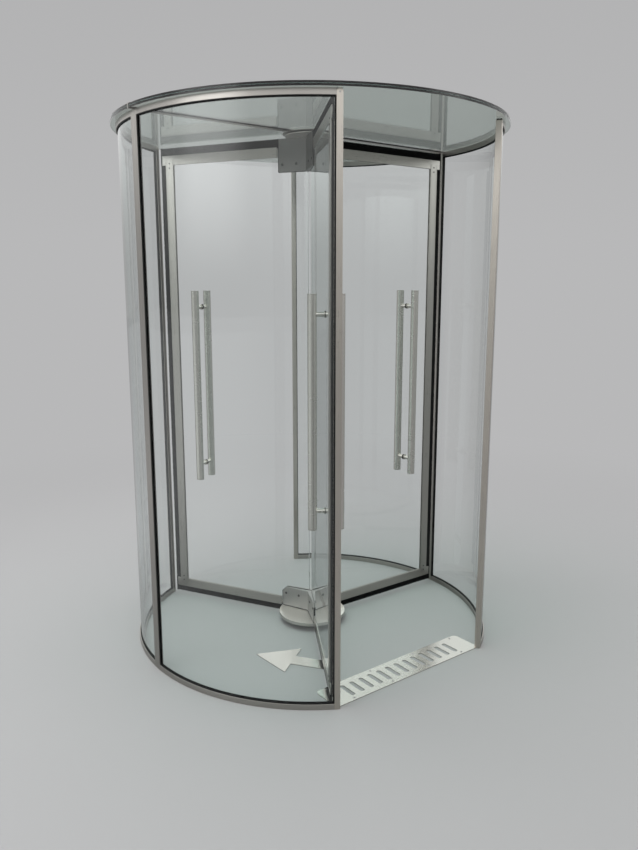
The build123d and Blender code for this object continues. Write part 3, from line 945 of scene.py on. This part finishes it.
class DOOR_OT_clamp_liners(bpy.types.Operator):
    """Line the clamps with rubber where they grip the glass of the wings, and lay black strips at
    their feet and ends that partly paint the shade there
    """

    bl_idname = "door.clamp_liners"
    bl_label = "Clamp liners"

    def execute(self, context):
        black = rubber("liner_rubber", context.scene.door_seals.rubber_colour)
        end = CLAMP_REACH + LINER_SHOWS
        top, low = LOWER_CLAMPS[1] + LINER_SHOWS, UPPER_CLAMPS[0] - LINER_SHOWS
        outlines = (((end, LOWER_CLAMPS[0] + STRIP_END), (end, top - CLAMP_CUT),
                     (end - CLAMP_CUT, top), (LINER_START, top)),
                    ((end, UPPER_CLAMPS[1] - STRIP_END), (end, low), (LINER_START, low)))
        ends = ((LOWER_CLAMPS[0] + STRIP_END, LOWER_CLAMPS[1] - CLAMP_CUT),
                (UPPER_CLAMPS[0], UPPER_CLAMPS[1] - STRIP_END))
        liners, foot_strips, end_strips = [], [], []
        for angle, side in wing_faces():
            facing = heading(angle + 90)
            for outline in outlines:
                liners.append(([around(reach, angle, height, side * ON_GLASS)
                                for reach, height in outline], facing))
            # Partly painted shade: black strips along the clamps' feet are rubber pads, laid to
            # give the dark shade line where clamp meets disc.
            foot_strips.append(([around(reach, angle, FOOT_STRIP_HEIGHT, side * aside)
                                 for reach, aside in ((CLAMP_REACH, CLAMP_TIP), CLAMP_FOLD)],
                                side * facing))
            # Partly painted shade: black strips at the clamps' outer ends are liner ends, thickened
            # to carry the dark shade in the gap between plate and glass.
            for heights in ends:
                aside = side * (HALF_PANE + CLAMP_TIP) / 2
                end_strips.append(([around(END_STRIP_REACH, angle, height, aside)
                                    for height in heights], facing))
        strip = shape_strip()
        for name, runs, width, depth, rounding in (
                ("clamp_liners", liners, 0.001, 0.0014, 0.0003),
                ("clamp_foot_shade_strips", foot_strips, 0.0022, 0.0024, 0.0006),
                ("clamp_end_shade_strips", end_strips, 0.0038, 0.003, 0.0008)):
            make_piece(name, strip, [line for line, facing in runs],
                       {"across": [facing for line, facing in runs for point in line]},
                       {"Width": width, "Depth": depth, "Rounding": rounding},
                       black, "wings")
        return {"FINISHED"}


class DOOR_OT_screws(bpy.types.Operator):
    """Set the screws of the clamps, stiles, posts, ceiling bearing and threshold"""

    bl_idname = "door.screws"
    bl_label = "Screws"

    def execute(self, context):
        values = context.scene.door_screws
        dark = steel("screw_blackened_steel", values.colour, grain_straight(), FINE_GRAIN,
                     dull=0.38, stretch=0.0)
        plain = steel("screw_plain_steel", (0.5, 0.5, 0.49), grain_straight(), FINE_GRAIN,
                      dull=0.28, stretch=0.0)
        shape = shape_screw()
        slope = (CLAMP_FOLD[1] - CLAMP_TIP) / (CLAMP_REACH - CLAMP_FOLD[0])
        points, way = [], []
        for angle, side in wing_faces():
            for reach in CLAMP_SCREW_REACHES:
                face = CLAMP_FOLD[1] - slope * (reach - CLAMP_FOLD[0])
                for height in CLAMP_SCREW_HEIGHTS:
                    points.append([around(reach, angle, height, side * (face - 2 * SCREW_SEAT))])
                    way.append((heading(angle) * slope + side * heading(angle + 90)).normalized())
        make_piece("clamp_screws", shape, points, {"way": way},
                   {"Head diameter": values.clamp_head, "Head height": 0.0022,
                    "Socket width": 0.006, "Socket depth": 0.0018, "Seed": 3},
                   dark, "wings")
        face = RAIL_FACE + STILE_FACE - SCREW_SEAT
        points = [[around(STILE_MIDDLE, angle, height, side * face)]
                  for angle, side in wing_faces() for height in STILE_SCREW_HEIGHTS]
        way = [side * heading(angle + 90)
               for angle, side in wing_faces() for height in STILE_SCREW_HEIGHTS]
        make_piece("stile_screws", shape, points, {"way": way},
                   {"Head diameter": values.stile_head, "Head height": 0.0012,
                    "Socket width": 0.003, "Socket depth": 0.001, "Seed": 5},
                   dark, "wings")
        reach, height = POST_SCREW
        make_piece("post_head_screws", shape, [[around(reach, angle, height)] for angle in POSTS],
                   {"way": [heading(angle) for angle in POSTS]},
                   {"Head diameter": 0.006, "Head height": 0.001, "Socket width": 0.0025,
                    "Socket depth": 0.0008, "Seed": 13},
                   plain, "drum")
        reach, height = BEARING_SCREW
        points = [[around(reach, angle, height)] for angle in range(30, 390, 60)]
        make_piece("ceiling_bearing_screws", shape, points, {"way": [-UP] * len(points)},
                   {"Head diameter": values.plate_head, "Head height": 0.0012,
                    "Socket width": 0.005, "Socket depth": 0.001, "Seed": 9},
                   plain, "drum")
        low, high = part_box("threshold_plate")
        points = [[Vector((column, row, high.z - SCREW_SEAT))]
                  for row, columns in ((low.y + THRESHOLD_EDGE, THRESHOLD_FRONT),
                                       (high.y - THRESHOLD_EDGE, THRESHOLD_REAR))
                  for column in columns]
        make_piece("threshold_screws", shape, points, {"way": [UP] * len(points)},
                   {"Head diameter": values.plate_head, "Head height": 0.0008,
                    "Socket width": 0.005, "Socket depth": 0.0007, "Seed": 11},
                   plain, "drum")
        return {"FINISHED"}


class DOOR_OT_handle_fittings(bpy.types.Operator):
    """Set washers where the handles meet the glass and seams at their end caps"""

    bl_idname = "door.handle_fittings"
    bl_label = "Handle fittings"

    def execute(self, context):
        scene = context.scene
        black = rubber("washer_nylon", scene.door_seals.rubber_colour, dull=0.4)
        bright = steel("collar_satin_steel", scene.door_steel.bright_colour, grain_turned,
                       FINE_GRAIN, dull=0.22, stretch=0.0)
        shape = shape_ring()
        caps = (HANDLE_ENDS[0] + CAP_LENGTH, HANDLE_ENDS[1] - CAP_LENGTH)
        washers, collars, seams, way = [], [], [], []
        for angle, side in wing_faces():
            for height in HANDLE_HEIGHTS:
                washers.append([around(HANDLE_REACH, angle, height, side * ON_GLASS)])
                collars.append([around(HANDLE_REACH, angle, height, side * ON_WASHER)])
                way.append(side * heading(angle + 90))
            for height in caps:
                seams.append([around(HANDLE_REACH, angle, height, side * HANDLE_OFFSET)])
        make_piece("handle_washers", shape, washers, {"way": way},
                   {"Inner diameter": 0.0181, "Outer diameter": 0.026, "Thickness": 0.001,
                    "Rounding": 0.0002}, black, "wings")
        make_piece("handle_collars", shape, collars, {"way": way},
                   {"Inner diameter": 0.0181, "Outer diameter": 0.025, "Thickness": 0.003,
                    "Rounding": 0.0006}, bright, "wings")
        make_piece("handle_cap_seams", shape, seams, {"way": [UP] * len(seams)},
                   {"Inner diameter": 0.0346, "Outer diameter": 0.0351, "Thickness": 0.0005,
                    "Rounding": 0.0001}, black, "wings")
        return {"FINISHED"}


# Stage


def seen_rays(tree):
    """1 for rays that show the surroundings: from the camera, from gloss, through glass."""
    path = add(tree, "ShaderNodeLightPath").outputs
    shown = arithmetic(tree, "MAXIMUM", path["Is Camera Ray"], path["Is Glossy Ray"])
    return arithmetic(tree, "MAXIMUM", shown, path["Is Transmission Ray"])


def mirror_rays(tree):
    """1 for rays that show the surroundings in steel or in the face of a pane."""
    path = add(tree, "ShaderNodeLightPath").outputs
    return arithmetic(tree, "SUBTRACT", path["Is Glossy Ray"], path["Is Transmission Ray"])


def tall_light(tree, way, rise, angle, half_width, brightness):
    """Tall soft-edged light at an angle round the horizon, as steel and glass mirror it."""
    level = on_vectors(tree, "NORMALIZE", on_vectors(tree, "MULTIPLY", way, (1, 1, 0)))
    facing = on_vectors(tree, "DOT_PRODUCT", level, heading(angle))
    edge, core = (math.cos(math.radians(half_width * share)) for share in (1.5, 0.5))
    wide = ramp(tree, facing, edge, core, 0.0, brightness, smooth=True)
    foot = ramp(tree, rise, -0.02, 0.14, smooth=True)
    head = ramp(tree, rise, 0.3, 0.5, 1.0, 0.0, smooth=True)
    return times(tree, wide, times(tree, foot, head))


def lay_floor(values):
    """Plain floor that meets the background in the distance and keeps the door's shadow; in mirrors
    it is painted darker, with a painted bright patch.
    """
    mesh = bpy.data.meshes.new("floor")
    corners = ((-1, -1), (1, -1), (1, 1), (-1, 1))
    mesh.from_pydata([(x * FLOOR_HALF, y * FLOOR_HALF, FLOOR_LEVEL) for x, y in corners],
                     [], [(0, 1, 2, 3)])
    floor = bpy.data.objects.new("studio_floor", mesh)
    bpy.context.scene.collection.objects.link(floor)
    material, tree = new_material("pale_floor")
    place = object_place(tree)
    reach = on_vectors(tree, "LENGTH", place)
    facing = on_vectors(tree, "DOT_PRODUCT", on_vectors(tree, "NORMALIZE", place),
                        heading(PAINTED_BRIGHT_PATCH_ANGLE))
    # Painted light: a bright patch on one side of the floor, and painted shade elsewhere, both seen
    # only in mirrors.
    bright = times(tree, ramp(tree, facing, 0.6, 0.95, smooth=True),
                   ramp(tree, reach, 1.6, 3.4, smooth=True))
    mirrored = mirror_rays(tree)

    def shown(colour, share):
        """Colour that steel mirrors: painted darker by a share, with a painted bright patch on one
        side.
        """
        in_steel = colour_mix(tree, bright, dimmed(colour, share), dimmed(colour, 1.25))
        return colour_mix(tree, mirrored, solid(colour), in_steel)

    matt = step(tree, "ShaderNodeBsdfPrincipled", {
        "Base Color": shown(values.floor_colour, 0.6), "Roughness": 0.65})
    plain = step(tree, "ShaderNodeEmission", {
        "Color": shown(values.background, 0.65), "Strength": 1.0})
    far = ramp(tree, reach, 1.2, 4.4, smooth=True)
    mixed = step(tree, "ShaderNodeMixShader", {
        0: times(tree, far, seen_rays(tree)), 1: matt, 2: plain})
    add(tree, "ShaderNodeOutputMaterial", {"Surface": mixed})
    mesh.materials.append(material)


def light_world(values):
    """Even light from all round, a plain background and the soft studio in mirrors."""
    world = bpy.data.worlds.new("studio")
    world.use_nodes = True
    tree = world.node_tree
    tree.nodes.clear()
    way = step(tree, "ShaderNodeTexCoord", None, "Generated")
    rise = step(tree, "ShaderNodeSeparateXYZ", {0: way}, 2)
    shade = colour_mix(tree, ramp(tree, rise, 0.05, 0.9), solid(values.background),
                       dimmed(values.background, 0.8))
    band = times(tree, ramp(tree, rise, 0.0, 0.38, 0.36, values.sky_band, smooth=True),
                 ramp(tree, rise, 0.62, 0.85, 1.0, 0.7, smooth=True))
    for angle, half_width, brightness in TALL_LIGHTS:
        light = tall_light(tree, way, rise, angle, half_width, brightness)
        band = arithmetic(tree, "ADD", band, light)
    studio = colour_mix(tree, mirror_rays(tree), shade, vector(tree, band, band, band))
    shown = step(tree, "ShaderNodeBackground", {"Color": studio, "Strength": 1.0})
    even = step(tree, "ShaderNodeBackground", {
        "Color": (1, 1, 1, 1), "Strength": values.ambient})
    mixed = step(tree, "ShaderNodeMixShader", {0: seen_rays(tree), 1: even, 2: shown})
    add(tree, "ShaderNodeOutputWorld", {"Surface": mixed})
    bpy.context.scene.world = world


def hang_lamp(name, place, target, size, power):
    """Large soft lamp that lights the floor and the rubber and shows nowhere itself."""
    light = bpy.data.lights.new(name, "AREA")
    light.shape = "RECTANGLE"
    light.size, light.size_y = size
    light.energy = power
    lamp = bpy.data.objects.new(name, light)
    lamp.location = place
    lamp.rotation_euler = (Vector(target) - Vector(place)).to_track_quat("-Z", "Y").to_euler()
    lamp.visible_camera = False
    lamp.visible_glossy = False
    lamp.visible_transmission = False
    bpy.context.scene.collection.objects.link(lamp)


def stand_camera(values):
    """Camera at standing eye level, to the left in front of the front doorway."""
    camera = bpy.data.objects.new("camera", bpy.data.cameras.new("camera"))
    camera.data.lens = values.focal_length
    camera.data.sensor_width = 36.0
    camera.location = CAMERA_PLACE
    camera.rotation_euler = (math.pi / 2 - math.radians(CAMERA_PITCH),
                             math.radians(CAMERA_ROLL), -math.radians(CAMERA_YAW))
    bpy.context.scene.collection.objects.link(camera)
    bpy.context.scene.camera = camera


class DOOR_OT_stage(bpy.types.Operator):
    """Lay the plain floor, set the soft studio light and stand the camera in place"""

    bl_idname = "door.stage"
    bl_label = "Stage"

    def execute(self, context):
        values = context.scene.door_stage
        lay_floor(values)
        light_world(values)
        for name, (place, target, size, share) in LAMPS.items():
            hang_lamp(name, place, target, size, values.lamp_power * share)
        context.scene.view_settings.view_transform = "Standard"
        stand_camera(values)
        return {"FINISHED"}


OPERATORS = (DOOR_OT_steel, DOOR_OT_stile_faces, DOOR_OT_glass, DOOR_OT_gaskets,
             DOOR_OT_ceiling, DOOR_OT_wing_seals, DOOR_OT_clamp_liners, DOOR_OT_screws,
             DOOR_OT_handle_fittings, DOOR_OT_stage)


class DOOR_PT_panel(bpy.types.Panel):
    """Sizes, colours and pieces of the revolving door"""

    bl_idname = "DOOR_PT_panel"
    bl_label = "Revolving door"
    bl_space_type = "VIEW_3D"
    bl_region_type = "UI"
    bl_category = "Revolving door"

    def draw(self, context):
        for label, kind in SETTINGS.items():
            values = getattr(context.scene, label)
            for key in kind.__annotations__:
                self.layout.prop(values, key)
        for operator in OPERATORS:
            self.layout.operator(operator.bl_idname)


def register():
    """Make the settings, the operators and the panel known."""
    for kind in (*SETTINGS.values(), *OPERATORS, DOOR_PT_panel):
        bpy.utils.register_class(kind)
    for label, kind in SETTINGS.items():
        setattr(bpy.types.Scene, label, PointerProperty(type=kind))


def unregister():
    """Take the settings, the operators and the panel away again."""
    for label in SETTINGS:
        delattr(bpy.types.Scene, label)
    for kind in (DOOR_PT_panel, *reversed(OPERATORS), *SETTINGS.values()):
        bpy.utils.unregister_class(kind)


def main():
    """Build every piece in order."""
    register()
    for operator in OPERATORS:
        group, name = operator.bl_idname.split(".")
        getattr(getattr(bpy.ops, group), name)()


if __name__ == "__main__":
    main()
